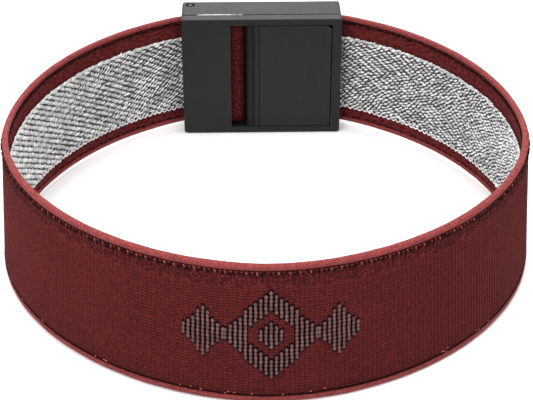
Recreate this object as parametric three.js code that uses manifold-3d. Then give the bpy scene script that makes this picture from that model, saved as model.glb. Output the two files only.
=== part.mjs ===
// Elastic grounding wristband with a hinged locking clasp, in millimetres, +Z up.
//
// The band stands on its lower edge as an open loop. The clasp closes the loop at the back (+Y),
// with its wrist face towards the middle of the loop and its press stud pointing away from it.
// The origin is the middle of the footprint, on the surface that the band stands on.
//
// Inside the clasp, "depth" runs outwards from the wrist face, and x runs along the band.

import * as THREE from 'three';
import * as BufferGeometryUtils from 'three/addons/utils/BufferGeometryUtils.js';
import Module from 'manifold-3d';

const wasm = await Module();
wasm.setup();

// ---- Driving dimensions -----------------------------------------------------------------------

// Band: a woven elastic web with a rounded edge cord on each side and a knitted silver lining.
const BAND_HEIGHT = 18;
const WEB_THICKNESS = 0.8;
const LINING_THICKNESS = 0.3;
const LINING_GAP = 0.05;
const EDGE_CORD_RADIUS = 0.42;
const EDGE_CORD_HEIGHT = 0.8;
const LINING_ABOVE_LOWER_EDGE = 2.6;
const LINING_BELOW_UPPER_EDGE = 3.2;
const CORD_TO_WEB_GAP = 0.05;

// Loop: half a superellipse at the front, and two arcs back to the clasp. The band leans a little
// towards the middle as it goes round: at the front its upper edge by this much, and its lower
// edge by as much the other way.
const LOOP_HALF_WIDTH = 34.8;
const LOOP_FRONT_REACH = 33.4;
const FRONT_EXPONENT = 1.85;
const BACK_ARC_RADIUS = 38.7;
const BAND_LEAN = 0.88;

// Clasp.
const CLASP_LENGTH = 24.6;
const CLASP_HEIGHT = 19.4;
const CLASP_DEPTH = 7.1;
const CLASP_WALL = 0.65;
const CLASP_EDGE = 0.3;
const PLATE_THICKNESS = 1.85;
const PLATE_SEAM = 0.15;
const MOUTH_FROM = 2.15;
const MOUTH_TO = 3.95;
const CROSS_BAR_WIDTH = 0.95;
const MOUTH_EASE = 0.3;
const BAND_DEPTH = 3.05;

// Window in the wrist plate, and the flap that fills most of it.
const WINDOW_LEFT = -4.8;
const WINDOW_RIGHT = 10.85;
const WINDOW_MARGIN = 1;
const FLAP_LEFT = -0.35;
const FLAP_RIGHT = 10.7;
const FLAP_SIDE_GAP = 0.12;
const FLAP_FACE_DEPTH = 0.05;
const FLAP_BACK_DEPTH = 1.45;
const FLAP_NECK_DEPTH = 0.55;
const FLAP_RIDGE_WIDTH = 0.35;
const NAIL_NOTCH = 0.8;

// Cam hub of the flap.
const HUB_X = -1.7;
const HUB_DEPTH = 0.95;
const HUB_RADIUS = 0.85;
const CAM_REACH = 1.28;
const CAM_TEETH = 3;
const FLAP_PIN_RADIUS = 0.4;
const PIN_CLEARANCE = 0.06;
const PIN_SOCKET = 0.6;
const HEM_POCKET_SKIN = 0.7;
const CAM_LOBE_FROM = 0.32 * Math.PI;
const CAM_LOBE_TO = 0.68 * Math.PI;
const TOOTH_RISE = 0.3;
const TOOTH_FALL = 0.5;

// Lid and its hinge.
const LID_THICKNESS = 1.35;
const LID_SIDE_GAP = 0.15;
const LID_END_GAP = 0.1;
const LID_PIN_X = -11;
const LID_BARREL_RADIUS = 1.25;
const LID_BARREL_END = 1.9 * Math.PI;
const LID_PIN_RADIUS = 0.65;
const CLAMP_RIB_WIDTH = 1.2;
const CLAMP_RIB_GAP = 0.15;
const LID_LIFT_LIP = 0.5;

// Press stud and contact.
const STUD_X = 1.7;
const STUD_FLANGE_RADIUS = 6;
const STUD_SHEET = 0.5;
const STUD_NECK_RADIUS = 4.5;
const STUD_BEAD_RADIUS = 5;
const STUD_FACE_RADIUS = 3.9;
const STUD_HEIGHT = 3.9;
const STUD_BEAD_BELOW_FACE = 1.1;
const RIVET_RADIUS = 1.4;
const RIVET_HEAD_RADIUS = 2.6;
const RIVET_HEAD_THICKNESS = 0.35;
const RIVET_HEAD_EDGE = 0.15;
const RIVET_FLARE_RADIUS = 2.2;
const LEAF_THICKNESS = 0.25;
const LEAF_ARM_WIDTH = 1.5;

// Hem of the fixed end, folded around the anchor wire.
const FOLD_X = -3.85;
const FOLD_RADIUS = 0.9;
const HEM_END_X = -9;
const TAIL_END_X = -2.35;
const WIRE_RADIUS = 0.42;
const WIRE_BEND = 0.7;
const WIRE_TOP_COVER = 0.4;
const STITCH_X = -6.6;
const STITCH_SWING = 0.7;
const STITCH_PITCH = 1.2;
const STITCH_RADIUS = 0.15;

// ---- Places worked out from the driving dimensions ----------------------------------------------

const CLASP_HALF = CLASP_LENGTH / 2;
const MID_Z = CLASP_HEIGHT / 2;
const BAND_LIFT = (CLASP_HEIGHT - BAND_HEIGHT) / 2;
const BAND_LOW = BAND_LIFT;
const BAND_HIGH = BAND_LIFT + BAND_HEIGHT;

const BACK_ARC_OFFSET = BACK_ARC_RADIUS - LOOP_HALF_WIDTH;
const MOUTH_ANGLE = Math.acos((CLASP_HALF + MOUTH_EASE + BACK_ARC_OFFSET) / BACK_ARC_RADIUS);
const WRIST_FACE_REACH = BACK_ARC_RADIUS * Math.sin(MOUTH_ANGLE) - BAND_DEPTH;
const FRONT_REACH = LOOP_FRONT_REACH + EDGE_CORD_RADIUS + BAND_LEAN;
const BACK_REACH = WRIST_FACE_REACH + CLASP_DEPTH + STUD_HEIGHT;
const LOOP_Y = (FRONT_REACH - BACK_REACH) / 2;
const WRIST_FACE_Y = LOOP_Y + WRIST_FACE_REACH;

const LID_INNER_DEPTH = CLASP_DEPTH - LID_THICKNESS;
const LID_PIN_DEPTH = CLASP_DEPTH - LID_BARREL_RADIUS;
const LEAF_DEPTH = LID_INNER_DEPTH - LEAF_THICKNESS;
const FOLD_DEPTH = BAND_DEPTH - FOLD_RADIUS;
const LINING_DEPTH = BAND_DEPTH - WEB_THICKNESS / 2 - LINING_GAP - LINING_THICKNESS / 2;
const WEB_LOW = BAND_LOW + EDGE_CORD_HEIGHT + CORD_TO_WEB_GAP;
const WEB_HIGH = BAND_HIGH - EDGE_CORD_HEIGHT - CORD_TO_WEB_GAP;
const CORD_LOW_Z = BAND_LOW + EDGE_CORD_HEIGHT / 2;
const CORD_HIGH_Z = BAND_HIGH - EDGE_CORD_HEIGHT / 2;

// Smoothness of the curves, and the distances within which two points are one.
const BACK_ARC_STEPS = 20;
const FRONT_STEPS = 40;
const FOLD_STEPS = 8;
const CORD_STEPS = 110;
const CORD_SIDES = 4;
const ROUND_STEPS = 20;
const WIRE_STEPS = 40;
const WIRE_SIDES = 5;
const STITCH_STEPS = 4;
const BEVEL_STEPS = 3;
const WELD_DISTANCE = 1e-4;
const SAME_POINT = 1e-3;
// How far a cutting block reaches past the face that it cuts through.
const PAST = 1;

// ---- Small helpers ------------------------------------------------------------------------------

const atDepth = (depth) => WRIST_FACE_Y + depth;
const point = (x, depth) => new THREE.Vector2(x, atDepth(depth));

function toSolid(geometry) {
  const bare = geometry.clone();
  bare.deleteAttribute('normal');
  bare.deleteAttribute('uv');
  const merged = BufferGeometryUtils.mergeVertices(bare, WELD_DISTANCE);
  return new wasm.Manifold(new wasm.Mesh({
    numProp: 3,
    vertProperties: merged.attributes.position.array,
    triVerts: merged.index.array,
  }));
}

function toGeometry(solid) {
  const mesh = solid.getMesh();
  const geometry = new THREE.BufferGeometry();
  geometry.setAttribute('position', new THREE.BufferAttribute(mesh.vertProperties, 3));
  geometry.setIndex(new THREE.BufferAttribute(mesh.triVerts, 1));
  return geometry;
}

function box(xFrom, xTo, depthFrom, depthTo, zFrom, zTo) {
  const geometry = new THREE.BoxGeometry(xTo - xFrom, depthTo - depthFrom, zTo - zFrom);
  geometry.translate((xFrom + xTo) / 2, atDepth((depthFrom + depthTo) / 2), (zFrom + zTo) / 2);
  return toSolid(geometry);
}

// A block with rounded corners seen along Y and a bevel on its faces.
function roundedBlock(width, height, depthFrom, depthTo, corner, bevel) {
  const halfWidth = width / 2 - bevel;
  const halfHeight = height / 2 - bevel;
  const shape = new THREE.Shape();
  shape.moveTo(-halfWidth + corner, -halfHeight);
  shape.lineTo(halfWidth - corner, -halfHeight);
  shape.absarc(halfWidth - corner, -halfHeight + corner, corner, -Math.PI / 2, 0, false);
  shape.absarc(halfWidth - corner, halfHeight - corner, corner, 0, Math.PI / 2, false);
  shape.absarc(-halfWidth + corner, halfHeight - corner, corner, Math.PI / 2, Math.PI, false);
  shape.absarc(-halfWidth + corner, -halfHeight + corner, corner, Math.PI, 1.5 * Math.PI, false);
  const geometry = new THREE.ExtrudeGeometry(shape, {
    depth: depthTo - depthFrom - 2 * bevel,
    bevelSize: bevel,
    bevelThickness: bevel,
    bevelSegments: BEVEL_STEPS,
    curveSegments: BEVEL_STEPS,
  });
  geometry.rotateX(Math.PI / 2);
  geometry.translate(0, atDepth(depthTo - bevel), MID_Z);
  return toSolid(geometry);
}

// A plan outline carried straight up from one height to another.
function prism(shape, zFrom, zTo) {
  const geometry = new THREE.ExtrudeGeometry(shape, {
    depth: zTo - zFrom,
    bevelEnabled: false,
    curveSegments: ROUND_STEPS / 2,
  });
  geometry.translate(0, 0, zFrom);
  return geometry;
}

function uprightPin(x, depth, radius, zFrom, zTo) {
  const geometry = new THREE.CylinderGeometry(radius, radius, zTo - zFrom, ROUND_STEPS);
  geometry.rotateX(Math.PI / 2);
  geometry.translate(x, atDepth(depth), (zFrom + zTo) / 2);
  return geometry;
}

// A turned piece on the stud's axis, from [radius, depth] points that start and end on the axis.
function turnedOnStudAxis(profile, steps) {
  const points = profile.map(([radius, depth]) => new THREE.Vector2(radius, depth));
  const geometry = new THREE.LatheGeometry(points, steps);
  geometry.translate(STUD_X, WRIST_FACE_Y, MID_Z);
  return geometry;
}

// ---- Band ---------------------------------------------------------------------------------------

// The loop outside the clasp, from the left mouth round the front to the right mouth.
function loopPoints() {
  const power = 2 / FRONT_EXPONENT;
  const front = [];
  for (let i = 0; i <= FRONT_STEPS; i += 1) {
    const angle = Math.PI * (1 + i / FRONT_STEPS);
    const across = Math.cos(angle);
    const ahead = Math.sin(angle);
    front.push(new THREE.Vector2(
      LOOP_HALF_WIDTH * Math.sign(across) * Math.abs(across) ** power,
      LOOP_Y - LOOP_FRONT_REACH * Math.abs(ahead) ** power,
    ));
  }
  const left = new THREE.Path();
  left.absarc(BACK_ARC_OFFSET, LOOP_Y, BACK_ARC_RADIUS, Math.PI - MOUTH_ANGLE, Math.PI, false);
  const right = new THREE.Path();
  right.absarc(-BACK_ARC_OFFSET, LOOP_Y, BACK_ARC_RADIUS, 0, MOUTH_ANGLE, false);
  return [...left.getPoints(BACK_ARC_STEPS), ...front, ...right.getPoints(BACK_ARC_STEPS)];
}

function withoutRepeats(points) {
  return points.filter((p, i) => i === 0 || p.distanceTo(points[i - 1]) > SAME_POINT);
}

// Centre line of the web: hem, fold round the anchor wire, loop, and tail under the cam.
function webCentreLine() {
  const fold = new THREE.Path();
  fold.moveTo(HEM_END_X, atDepth(FOLD_DEPTH - FOLD_RADIUS));
  fold.absarc(FOLD_X, atDepth(FOLD_DEPTH), FOLD_RADIUS, -Math.PI / 2, Math.PI / 2, false);
  return withoutRepeats([
    ...fold.getPoints(FOLD_STEPS),
    ...loopPoints(),
    point(TAIL_END_X, BAND_DEPTH),
  ]);
}

// The same line without the hem: from beside the anchor wire to the tail.
function outerCentreLine() {
  return withoutRepeats([
    point(FOLD_X - WIRE_RADIUS - FOLD_RADIUS, BAND_DEPTH),
    ...loopPoints(),
    point(TAIL_END_X, BAND_DEPTH),
  ]);
}

// Unit normal at each point of a line, pointing to the right of the way along it.
function normalsAlong(points) {
  return points.map((_, i) => {
    const before = points[Math.max(i - 1, 0)];
    const after = points[Math.min(i + 1, points.length - 1)];
    const along = after.clone().sub(before).normalize();
    return new THREE.Vector2(along.y, -along.x);
  });
}

// Plan outline of a strip that lies between two offsets to the right of a line.
function stripShape(points, offsetFrom, offsetTo) {
  const normals = normalsAlong(points);
  const shifted = (offset) => points.map((p, i) => p.clone().addScaledVector(normals[i], offset));
  return new THREE.Shape([...shifted(offsetTo), ...shifted(offsetFrom).reverse()]);
}

// The band drops towards the front of the loop until its lower edge touches the surface under
// the clasp, and leans towards the middle of the loop.
function settle(geometry) {
  const position = geometry.attributes.position;
  const reach = WRIST_FACE_REACH + LOOP_FRONT_REACH;
  const here = new THREE.Vector3();
  const outwards = new THREE.Vector3();
  for (let i = 0; i < position.count; i += 1) {
    here.fromBufferAttribute(position, i);
    const forward = THREE.MathUtils.clamp((WRIST_FACE_Y - here.y) / reach, 0, 1);
    const height = (here.z - MID_Z) / (CORD_HIGH_Z - MID_Z);
    outwards.set(here.x, here.y - LOOP_Y, 0).normalize();
    here.addScaledVector(outwards, -BAND_LEAN * height * Math.sin((forward * Math.PI) / 2));
    here.z -= BAND_LIFT * THREE.MathUtils.smoothstep(forward, 0, 1);
    position.setXYZ(i, here.x, here.y, here.z);
  }
  return geometry;
}

function elasticBand() {
  const shape = stripShape(webCentreLine(), -WEB_THICKNESS / 2, WEB_THICKNESS / 2);
  return settle(prism(shape, WEB_LOW, WEB_HIGH));
}

// Zigzag of sewing thread that closes the hem, on the outer side of the web.
function hemStitching() {
  const depth = BAND_DEPTH + WEB_THICKNESS / 2 + STITCH_RADIUS + CORD_TO_WEB_GAP;
  const turns = Math.floor((WEB_HIGH - WEB_LOW - STITCH_PITCH) / STITCH_PITCH);
  const first = (WEB_LOW + WEB_HIGH - turns * STITCH_PITCH) / 2;
  const corners = [];
  for (let i = 0; i <= turns; i += 1) {
    const side = i % 2 === 0 ? -1 : 1;
    corners.push(new THREE.Vector3(
      STITCH_X + side * STITCH_SWING, atDepth(depth), first + i * STITCH_PITCH,
    ));
  }
  const section = new THREE.Shape();
  section.absarc(0, 0, STITCH_RADIUS, 0, 2 * Math.PI, false);
  return new THREE.ExtrudeGeometry(section, {
    steps: STITCH_STEPS * turns,
    extrudePath: new THREE.CatmullRomCurve3(corners),
    curveSegments: BEVEL_STEPS,
  });
}

// The silver lining, on the wrist side of the web, from the anchor wire round to the cut tail.
function conductiveLining() {
  const middle = LINING_DEPTH - BAND_DEPTH;
  const shape = stripShape(
    outerCentreLine(), middle - LINING_THICKNESS / 2, middle + LINING_THICKNESS / 2,
  );
  return settle(prism(shape, BAND_LOW + LINING_ABOVE_LOWER_EDGE, BAND_HIGH - LINING_BELOW_UPPER_EDGE));
}

// A rounded cord along one edge of the web.
function edgeCord(centreZ) {
  const line = outerCentreLine();
  const path = new THREE.CurvePath();
  for (let i = 1; i < line.length; i += 1) {
    const from = new THREE.Vector3(line[i - 1].x, line[i - 1].y, centreZ);
    const to = new THREE.Vector3(line[i].x, line[i].y, centreZ);
    path.add(new THREE.LineCurve3(from, to));
  }
  const section = new THREE.Shape();
  section.absellipse(0, 0, EDGE_CORD_HEIGHT / 2, EDGE_CORD_RADIUS, 0, 2 * Math.PI, false);
  const geometry = new THREE.ExtrudeGeometry(section, {
    steps: CORD_STEPS,
    extrudePath: path,
    curveSegments: CORD_SIDES,
  });
  return settle(geometry);
}

// ---- Clasp: fixed pieces --------------------------------------------------------------------------

// Room for the upper end of the anchor wire, on the seam between the casing and the plate.
function wireSocket() {
  const top = CLASP_HEIGHT - WIRE_TOP_COVER;
  return toSolid(uprightPin(
    FOLD_X, FOLD_DEPTH, WIRE_RADIUS + PIN_CLEARANCE, top - PAST, top + PIN_CLEARANCE,
  ));
}

function housingFrame() {
  const from = PLATE_THICKNESS + PLATE_SEAM;
  const cavityEnd = CLASP_HALF - CROSS_BAR_WIDTH;
  const lowZ = CLASP_WALL;
  const highZ = CLASP_HEIGHT - CLASP_WALL;
  const mouth = (xFrom, xTo) => box(xFrom, xTo, MOUTH_FROM, MOUTH_TO, lowZ, highZ);
  const barrelRoom = box(
    -CLASP_HALF - PAST, -cavityEnd, MOUTH_FROM, CLASP_DEPTH + PAST, lowZ, highZ,
  );
  return toGeometry(
    roundedBlock(CLASP_LENGTH, CLASP_HEIGHT, from, CLASP_DEPTH, CLASP_EDGE, CLASP_EDGE / 2)
      .subtract(box(-cavityEnd, cavityEnd, from - PAST, CLASP_DEPTH + PAST, lowZ, highZ))
      .subtract(mouth(cavityEnd - PAST, CLASP_HALF + PAST))
      .subtract(barrelRoom)
      .subtract(box(0, CLASP_HALF + PAST, LID_INNER_DEPTH - LID_END_GAP, CLASP_DEPTH + PAST, lowZ, highZ))
      .subtract(toSolid(uprightPin(
        LID_PIN_X, LID_PIN_DEPTH, LID_PIN_RADIUS + PIN_CLEARANCE, -PAST, CLASP_HEIGHT + PAST,
      )))
      .subtract(wireSocket()),
  );
}

function innerPlate() {
  const windowLow = WINDOW_MARGIN;
  const windowHigh = CLASP_HEIGHT - WINDOW_MARGIN;
  const wireRoom = WIRE_RADIUS + PIN_CLEARANCE;
  return toGeometry(
    roundedBlock(CLASP_LENGTH, CLASP_HEIGHT, 0, PLATE_THICKNESS, CLASP_EDGE, CLASP_EDGE / 2)
      .subtract(box(WINDOW_LEFT, WINDOW_RIGHT, -PAST, CLASP_DEPTH, windowLow, windowHigh))
      .subtract(box(HEM_END_X - PAST / 2, WINDOW_LEFT + PAST, HEM_POCKET_SKIN, CLASP_DEPTH,
        windowLow, windowHigh))
      .subtract(box(FOLD_X - wireRoom, FOLD_X + wireRoom, FOLD_DEPTH - wireRoom, CLASP_DEPTH,
        CLASP_WALL, windowLow + PAST))
      .subtract(toSolid(uprightPin(
        HUB_X, HUB_DEPTH, FLAP_PIN_RADIUS + PIN_CLEARANCE,
        windowLow - PIN_SOCKET, windowHigh + PIN_SOCKET,
      )))
      .subtract(wireSocket()),
  );
}

// One bent wire: a bar through the fold of the hem and a leg that rises to the contact leaf.
function anchorWire() {
  const top = CLASP_HEIGHT - WIRE_TOP_COVER;
  const legZ = CORD_LOW_Z;
  const at = (depth, z) => new THREE.Vector3(FOLD_X, atDepth(depth), z);
  const path = new THREE.CurvePath();
  path.add(new THREE.LineCurve3(at(FOLD_DEPTH, top), at(FOLD_DEPTH, legZ + WIRE_BEND)));
  path.add(new THREE.QuadraticBezierCurve3(
    at(FOLD_DEPTH, legZ + WIRE_BEND), at(FOLD_DEPTH, legZ), at(FOLD_DEPTH + WIRE_BEND, legZ),
  ));
  path.add(new THREE.LineCurve3(
    at(FOLD_DEPTH + WIRE_BEND, legZ), at(LEAF_DEPTH - PIN_CLEARANCE, legZ),
  ));
  const section = new THREE.Shape();
  section.absarc(0, 0, WIRE_RADIUS, 0, 2 * Math.PI, false);
  return new THREE.ExtrudeGeometry(section, {
    steps: WIRE_STEPS,
    extrudePath: path,
    curveSegments: WIRE_SIDES,
  });
}

function lidPin() {
  return uprightPin(LID_PIN_X, LID_PIN_DEPTH, LID_PIN_RADIUS, 0, CLASP_HEIGHT);
}

function flapPin() {
  const socket = PIN_SOCKET - LID_END_GAP;
  return uprightPin(
    HUB_X, HUB_DEPTH, FLAP_PIN_RADIUS, WINDOW_MARGIN - socket, CLASP_HEIGHT - WINDOW_MARGIN + socket,
  );
}

// ---- Clasp: lid -----------------------------------------------------------------------------------

function outerLid() {
  const shape = new THREE.Shape();
  const end = CLASP_HALF;
  shape.moveTo(LID_PIN_X, atDepth(CLASP_DEPTH));
  shape.absarc(
    LID_PIN_X, atDepth(LID_PIN_DEPTH), LID_BARREL_RADIUS, Math.PI / 2, LID_BARREL_END, false,
  );
  shape.lineTo(LID_PIN_X + LID_BARREL_RADIUS, atDepth(LID_INNER_DEPTH));
  shape.lineTo(end - LID_LIFT_LIP, atDepth(LID_INNER_DEPTH));
  shape.lineTo(end, atDepth(LID_INNER_DEPTH + LID_LIFT_LIP));
  shape.lineTo(end, atDepth(CLASP_DEPTH - LID_LIFT_LIP / 2));
  shape.lineTo(end - LID_LIFT_LIP / 2, atDepth(CLASP_DEPTH));
  const low = CLASP_WALL + LID_SIDE_GAP;
  const high = CLASP_HEIGHT - CLASP_WALL - LID_SIDE_GAP;
  const ribLow = WEB_LOW + LEAF_ARM_WIDTH;
  const bandOutside = BAND_DEPTH + WEB_THICKNESS / 2;
  const shank = turnedOnStudAxis([
    [0, LID_INNER_DEPTH - PAST],
    [RIVET_RADIUS + PIN_CLEARANCE, LID_INNER_DEPTH - PAST],
    [RIVET_RADIUS + PIN_CLEARANCE, CLASP_DEPTH + PAST],
    [0, CLASP_DEPTH + PAST],
  ], ROUND_STEPS);
  return toGeometry(
    toSolid(prism(shape, low, high))
      .add(box(
        HUB_X - CLAMP_RIB_WIDTH / 2, HUB_X + CLAMP_RIB_WIDTH / 2,
        bandOutside + CLAMP_RIB_GAP, LID_INNER_DEPTH + LID_THICKNESS / 2, ribLow, high,
      ))
      .subtract(toSolid(uprightPin(
        LID_PIN_X, LID_PIN_DEPTH, LID_PIN_RADIUS + PIN_CLEARANCE, -PAST, CLASP_HEIGHT + PAST,
      )))
      .subtract(toSolid(shank)),
  );
}

// Drawn cup with a snap bead round it and a flat closed end.
function snapStud() {
  const base = CLASP_DEPTH;
  const end = base + STUD_HEIGHT;
  const hole = RIVET_RADIUS + PIN_CLEARANCE;
  const neckInside = STUD_NECK_RADIUS - STUD_SHEET;
  const beadDepth = end - STUD_BEAD_BELOW_FACE;
  return turnedOnStudAxis([
    [0, end - STUD_SHEET],
    [STUD_FACE_RADIUS - STUD_SHEET, end - STUD_SHEET],
    [STUD_BEAD_RADIUS - STUD_SHEET, beadDepth],
    [neckInside, base + 2 * STUD_SHEET],
    [hole, base + STUD_SHEET],
    [hole, base],
    [STUD_FLANGE_RADIUS - STUD_SHEET / 2, base],
    [STUD_FLANGE_RADIUS, base + STUD_SHEET / 2],
    [STUD_FLANGE_RADIUS - STUD_SHEET / 2, base + STUD_SHEET],
    [STUD_NECK_RADIUS + STUD_SHEET / 2, base + STUD_SHEET],
    [STUD_NECK_RADIUS, base + 1.5 * STUD_SHEET],
    [STUD_NECK_RADIUS, beadDepth - STUD_SHEET],
    [STUD_BEAD_RADIUS, beadDepth],
    [STUD_BEAD_RADIUS, beadDepth + STUD_SHEET],
    [STUD_FACE_RADIUS + STUD_SHEET / 2, end - STUD_SHEET / 4],
    [STUD_FACE_RADIUS, end],
    [0, end],
  ], 2 * ROUND_STEPS);
}

function studRivet() {
  const head = LEAF_DEPTH - RIVET_HEAD_THICKNESS;
  const flare = CLASP_DEPTH + 3 * STUD_SHEET;
  return turnedOnStudAxis([
    [0, head],
    [RIVET_HEAD_RADIUS - RIVET_HEAD_EDGE, head],
    [RIVET_HEAD_RADIUS, LEAF_DEPTH],
    [RIVET_RADIUS, LEAF_DEPTH],
    [RIVET_RADIUS, flare],
    [RIVET_FLARE_RADIUS, flare],
    [RIVET_RADIUS, flare + STUD_SHEET],
    [0, flare + STUD_SHEET],
  ], ROUND_STEPS);
}

// Spring strip under the lid, from the rivet down to the leg of the anchor wire.
function contactLeaf() {
  const armLow = BAND_LOW + LID_SIDE_GAP;
  const armHigh = armLow + LEAF_ARM_WIDTH;
  const left = FOLD_X - LEAF_ARM_WIDTH / 2;
  const bodyLeft = HUB_X + CLAMP_RIB_WIDTH / 2 + LID_SIDE_GAP;
  const bodyRight = STUD_X + RIVET_HEAD_RADIUS;
  const bodyHigh = MID_Z + RIVET_HEAD_RADIUS;
  const shape = new THREE.Shape();
  shape.moveTo(left, -armLow);
  shape.lineTo(left, -armHigh);
  shape.lineTo(bodyLeft, -armHigh);
  shape.lineTo(bodyLeft, -bodyHigh);
  shape.lineTo(bodyRight, -bodyHigh);
  shape.lineTo(bodyRight, -armLow);
  const hole = new THREE.Path();
  hole.absarc(STUD_X, -MID_Z, RIVET_RADIUS + PIN_CLEARANCE, 0, 2 * Math.PI, true);
  shape.holes.push(hole);
  const geometry = new THREE.ExtrudeGeometry(shape, {
    depth: LEAF_THICKNESS,
    bevelEnabled: false,
    curveSegments: ROUND_STEPS / 2,
  });
  geometry.rotateX(-Math.PI / 2);
  geometry.translate(0, atDepth(LEAF_DEPTH), 0);
  return geometry;
}

// ---- Clasp: flap ----------------------------------------------------------------------------------

// Plan outline of the toothed cam hub.
function hubShape() {
  const shape = new THREE.Shape();
  const polar = (radius, angle) => [
    HUB_X + radius * Math.cos(angle), atDepth(HUB_DEPTH) + radius * Math.sin(angle),
  ];
  const tooth = (CAM_LOBE_TO - CAM_LOBE_FROM) / CAM_TEETH;
  shape.moveTo(...polar(HUB_RADIUS, CAM_LOBE_FROM));
  for (let i = 0; i < CAM_TEETH; i += 1) {
    shape.lineTo(...polar(CAM_REACH, CAM_LOBE_FROM + (i + TOOTH_RISE) * tooth));
    shape.lineTo(...polar(CAM_REACH, CAM_LOBE_FROM + (i + TOOTH_FALL) * tooth));
    shape.lineTo(...polar((HUB_RADIUS + CAM_REACH) / 2, CAM_LOBE_FROM + (i + 1) * tooth));
  }
  shape.lineTo(...polar(HUB_RADIUS, CAM_LOBE_TO));
  shape.absarc(
    HUB_X, atDepth(HUB_DEPTH), HUB_RADIUS, CAM_LOBE_TO, CAM_LOBE_FROM + 2 * Math.PI, false,
  );
  return shape;
}

function lockingFlap() {
  const low = WINDOW_MARGIN + FLAP_SIDE_GAP;
  const high = CLASP_HEIGHT - WINDOW_MARGIN - FLAP_SIDE_GAP;
  const ridgeTo = HUB_X + HUB_RADIUS + FLAP_RIDGE_WIDTH;
  const notch = new THREE.BoxGeometry(NAIL_NOTCH, 4 * PAST, NAIL_NOTCH);
  notch.rotateY(Math.PI / 4);
  notch.translate(FLAP_RIGHT, atDepth(0), high);
  return toGeometry(
    toSolid(prism(hubShape(), low, high))
      .add(box(HUB_X, FLAP_LEFT + PAST, FLAP_NECK_DEPTH, FLAP_BACK_DEPTH, low, high))
      .add(box(HUB_X + HUB_RADIUS / 2, ridgeTo, FLAP_FACE_DEPTH, FLAP_BACK_DEPTH, low, high))
      .add(box(FLAP_LEFT, FLAP_RIGHT, FLAP_FACE_DEPTH, FLAP_BACK_DEPTH, low, high))
      .subtract(toSolid(notch))
      .subtract(toSolid(uprightPin(
        HUB_X, HUB_DEPTH, FLAP_PIN_RADIUS + PIN_CLEARANCE, -PAST, CLASP_HEIGHT + PAST,
      ))),
  );
}

// ---- Assembly -------------------------------------------------------------------------------------

const FABRIC = { roughness: 0.9, metalness: 0 };
const PLASTIC = { color: 0x1b1b1c, roughness: 0.55, metalness: 0 };
const STEEL = { color: 0xb8babd, roughness: 0.32, metalness: 1 };

function part(name, geometry, material) {
  const mesh = new THREE.Mesh(geometry, new THREE.MeshStandardMaterial(material));
  mesh.name = name;
  return mesh;
}

const band = new THREE.Group();
band.add(
  part('elastic_band', elasticBand(), { ...FABRIC, color: 0x5f2524 }),
  part('conductive_lining', conductiveLining(), { color: 0xb4b2b1, roughness: 0.45, metalness: 0.8 }),
  part('hem_stitching', hemStitching(), { ...FABRIC, color: 0x3a1414 }),
  part('upper_edge_cord', edgeCord(CORD_HIGH_Z), { ...FABRIC, color: 0xa04848 }),
  part('lower_edge_cord', edgeCord(CORD_LOW_Z), { ...FABRIC, color: 0xa04848 }),
);

const clasp = new THREE.Group();
clasp.add(
  part('housing_frame', housingFrame(), PLASTIC),
  part('inner_plate', innerPlate(), PLASTIC),
  part('anchor_wire', anchorWire(), STEEL),
  part('lid_pin', lidPin(), STEEL),
  part('flap_pin', flapPin(), STEEL),
);

const lid = new THREE.Group();
lid.add(
  part('outer_lid', outerLid(), PLASTIC),
  part('snap_stud', snapStud(), STEEL),
  part('stud_rivet', studRivet(), STEEL),
  part('contact_leaf', contactLeaf(), STEEL),
);

const flap = new THREE.Group();
flap.add(part('locking_flap', lockingFlap(), PLASTIC));

const wristband = new THREE.Group();
wristband.add(band, clasp, lid, flap);

export default wristband;
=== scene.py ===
# Anti-static wristband with a hinged clasp: the visual model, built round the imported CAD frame.
# Lengths are in millimetres until a mesh is made; meshes are in metres, in the row frame.

import math

import bmesh
import bpy
import numpy as np
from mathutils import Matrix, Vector


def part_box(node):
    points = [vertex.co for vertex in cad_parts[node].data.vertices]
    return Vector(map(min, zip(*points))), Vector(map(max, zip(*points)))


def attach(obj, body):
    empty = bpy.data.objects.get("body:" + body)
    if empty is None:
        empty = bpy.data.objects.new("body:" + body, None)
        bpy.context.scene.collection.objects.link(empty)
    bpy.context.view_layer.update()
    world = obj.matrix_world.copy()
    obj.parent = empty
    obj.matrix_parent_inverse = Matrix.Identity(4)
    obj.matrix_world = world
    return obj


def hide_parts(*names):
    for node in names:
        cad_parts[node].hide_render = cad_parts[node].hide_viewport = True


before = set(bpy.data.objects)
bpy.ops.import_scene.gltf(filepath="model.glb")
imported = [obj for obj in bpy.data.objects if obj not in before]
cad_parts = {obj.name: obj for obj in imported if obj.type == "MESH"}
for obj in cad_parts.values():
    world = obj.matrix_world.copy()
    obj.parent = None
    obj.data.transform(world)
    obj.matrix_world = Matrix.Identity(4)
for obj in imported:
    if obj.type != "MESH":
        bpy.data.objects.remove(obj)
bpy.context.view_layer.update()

MM = 0.001
rng = np.random.default_rng(20)

# ---- Sizes ----------------------------------------------------------------------------------------

# Band, seen flat: s runs along it from the hem's cut end, v runs up from its lower edge's floor.
BAND_HIGH = 18.7
BAND_LOW = 0.7
LIP_HEIGHT = 0.8
LIP_DEPTH = 0.42
LIP_GIRTH = 3.4
LIP_RIB = 0.34
WEB_LOW = 1.55
WEB_HIGH = 17.85
WEB_HALF = 0.4
LINING_LOW = 3.3
LINING_HIGH = 15.5
LINING_FACE = -0.62
LINING_BACK = -0.45
WALE = 0.58
COURSE = 0.36
# Added to v in the map of the web's inner side, so that the finish can tell the sides apart.
INNER_SIDE = 40.0

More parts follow.
